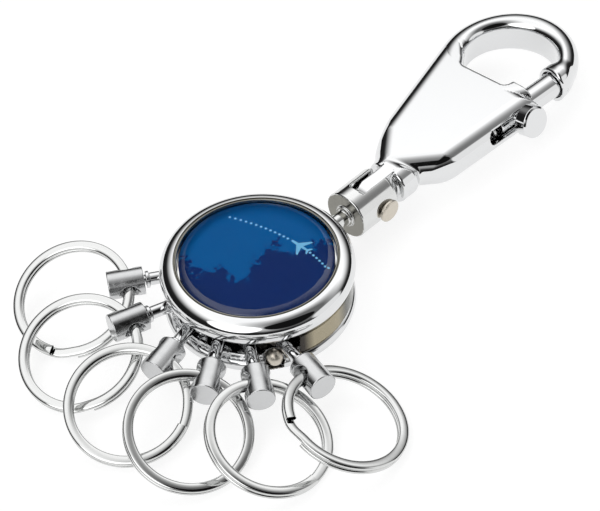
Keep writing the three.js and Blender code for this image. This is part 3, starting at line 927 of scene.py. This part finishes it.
def holders():
    pin = skin(pin_field, (-2.6, -2.6, -2.6), (9.7, 2.6, 2.6), 0.17)
    barrel = skin(barrel_field, (8.1, -3.1, -3.1), (15.6, 3.1, 3.1), 0.14)
    for i in range(1, 7):
        origin, axes = holder_frame(i)
        for kind, shape, chrome in (("pin", pin, CHROME), ("barrel", barrel, CHROME_BARREL)):
            points, quads, normals = shape
            make_object(f"holder_{kind}_{i}_skin", points @ axes + origin, quads, normals @ axes,
                        f"{kind}_{i}", chrome, [f"holder_{kind}_{i}"])
        split_ring(i)


# ---- studio -------------------------------------------------------------------------------------

# What the chrome mirrors besides that: direction, cosines of the outer and inner edge, brightness
CARDS = [
    ((0.14, -0.60, 0.76), 0.66, 0.93, 0.17),
    ((-0.06, -0.72, 0.68), 0.915, 0.925, 0.008),
    ((0.55, -0.80, 0.20), 0.93, 0.955, 1.0),
    ((-0.75, -0.25, 0.60), 0.90, 0.915, 1.9),
]
CAMERA_LEFT = (-0.788, 0.616, 0.0)
BACK_LIGHT = 1.4

# The studio's dark horizon below its white back, as (height, grey); it rises on the camera's left
HORIZON = [(0.0, 0.01), (0.22, 0.015), (0.30, 0.07), (0.45, 0.36), (0.60, 0.78), (0.70, 1.0), (1.0, 0.9)]
HORIZON_RISE = 0.3


def studio():
    low = cad_bounds[0][2] if hasattr(cad_bounds[0], "__len__") else cad_bounds[0].z
    size = 1.2
    mesh = bpy.data.meshes.new("floor")
    corners = [(-size, -size, low), (size, -size, low), (size, size, low), (-size, size, low)]
    mesh.from_pydata(corners, [], [(0, 1, 2, 3)])
    floor = bpy.data.objects.new("floor", mesh)
    bpy.context.scene.collection.objects.link(floor)
    material, nodes, links, principled = shader("floor_white")
    principled.inputs["Base Color"].default_value = (0.35, 0.35, 0.35, 1)
    principled.inputs["Roughness"].default_value = 0.7
    principled.inputs["Specular IOR Level"].default_value = 0.0
    principled.inputs["Emission Color"].default_value = (1, 1, 1, 1)
    principled.inputs["Emission Strength"].default_value = 0.78
    floor.data.materials.append(material)

    world = bpy.data.worlds.new("studio")
    bpy.context.scene.world = world
    world.use_nodes = True
    nodes, links = world.node_tree.nodes, world.node_tree.links
    background = nodes["Background"]
    where = nodes.new("ShaderNodeTexCoord")
    split = nodes.new("ShaderNodeSeparateXYZ")
    links.new(where.outputs["Generated"], split.inputs["Vector"])
    leftward = maths(nodes, links, "MAXIMUM", facing(nodes, links, where, CAMERA_LEFT), 0.0)
    raised = maths(nodes, links, "MULTIPLY", leftward, HORIZON_RISE)
    height = maths(nodes, links, "SUBTRACT", split.outputs["Z"], raised)
    light = grey_ramp(nodes, links, height, HORIZON)
    light = maths(nodes, links, "MULTIPLY", light, BACK_LIGHT)
    for direction, outer, inner, shade in CARDS:
        toward = facing(nodes, links, where, direction)
        card = grey_ramp(nodes, links, toward, [(outer, 0.0), (inner, 1.0)])
        rest = maths(nodes, links, "MULTIPLY", light, maths(nodes, links, "SUBTRACT", 1.0, card))
        light = maths(nodes, links, "ADD", rest, maths(nodes, links, "MULTIPLY", card, shade))
    links.new(light, background.inputs["Color"])
    background.inputs["Strength"].default_value = 1.0


def facing(nodes, links, where, direction):
    """The cosine between the ray and a direction."""
    dot = nodes.new("ShaderNodeVectorMath")
    dot.operation = "DOT_PRODUCT"
    dot.inputs[1].default_value = Vector(direction).normalized()
    links.new(where.outputs["Generated"], dot.inputs[0])
    return dot.outputs["Value"]


def maths(nodes, links, operation, a, b):
    """One sum in the world's shader, of sockets or plain numbers."""
    node = nodes.new("ShaderNodeMath")
    node.operation = operation
    for socket, value in zip(node.inputs, (a, b)):
        if isinstance(value, float):
            socket.default_value = value
        else:
            links.new(value, socket)
    return node.outputs["Value"]


def grey_ramp(nodes, links, source, stops):
    """A grey that follows a value from 0 to 1 through (position, grey) stops."""
    ramp = nodes.new("ShaderNodeValToRGB")
    elements = ramp.color_ramp.elements
    elements[0].position, elements[1].position = stops[0][0], stops[-1][0]
    for position, _ in stops[1:-1]:
        elements.new(position)
    for element, (_, value) in zip(elements, stops):
        element.color = (value, value, value, 1)
    links.new(source, ramp.inputs["Fac"])
    return ramp.outputs["Color"]


def camera():
    azimuth, elevation, roll = math.radians(-38.0), math.radians(46.9), math.radians(5.5)
    distance = 0.393
    level = math.cos(elevation)
    direction = Vector((math.sin(azimuth) * level, -math.cos(azimuth) * level, math.sin(elevation)))
    data = bpy.data.cameras.new("camera")
    data.lens = 130.8
    data.sensor_width = 36
    data.shift_x = 0.0657
    data.shift_y = 0.0762
    data.clip_start = 0.01
    view = bpy.data.objects.new("camera", data)
    bpy.context.scene.collection.objects.link(view)
    turn = (-direction).to_track_quat("-Z", "Y").to_matrix().to_4x4()
    view.matrix_world = Matrix.Translation(direction * distance) @ turn @ Matrix.Rotation(-roll, 4, "Z")
    bpy.context.scene.camera = view
    bpy.context.scene.view_settings.view_transform = "Standard"


camera()
studio()
base_plate()
groove_core()
top_cover()
inlay()
route()
lock_ball()
swivel_fork()
rivet_pin()
hook_body()
gate()
gate_spring()
holders()
for hidden_node in ("assembly_screw", "swivel_clip"):
    node = frame["nodes"][hidden_node]
    node.data.materials.clear()
    node.data.materials.append(WIRE)
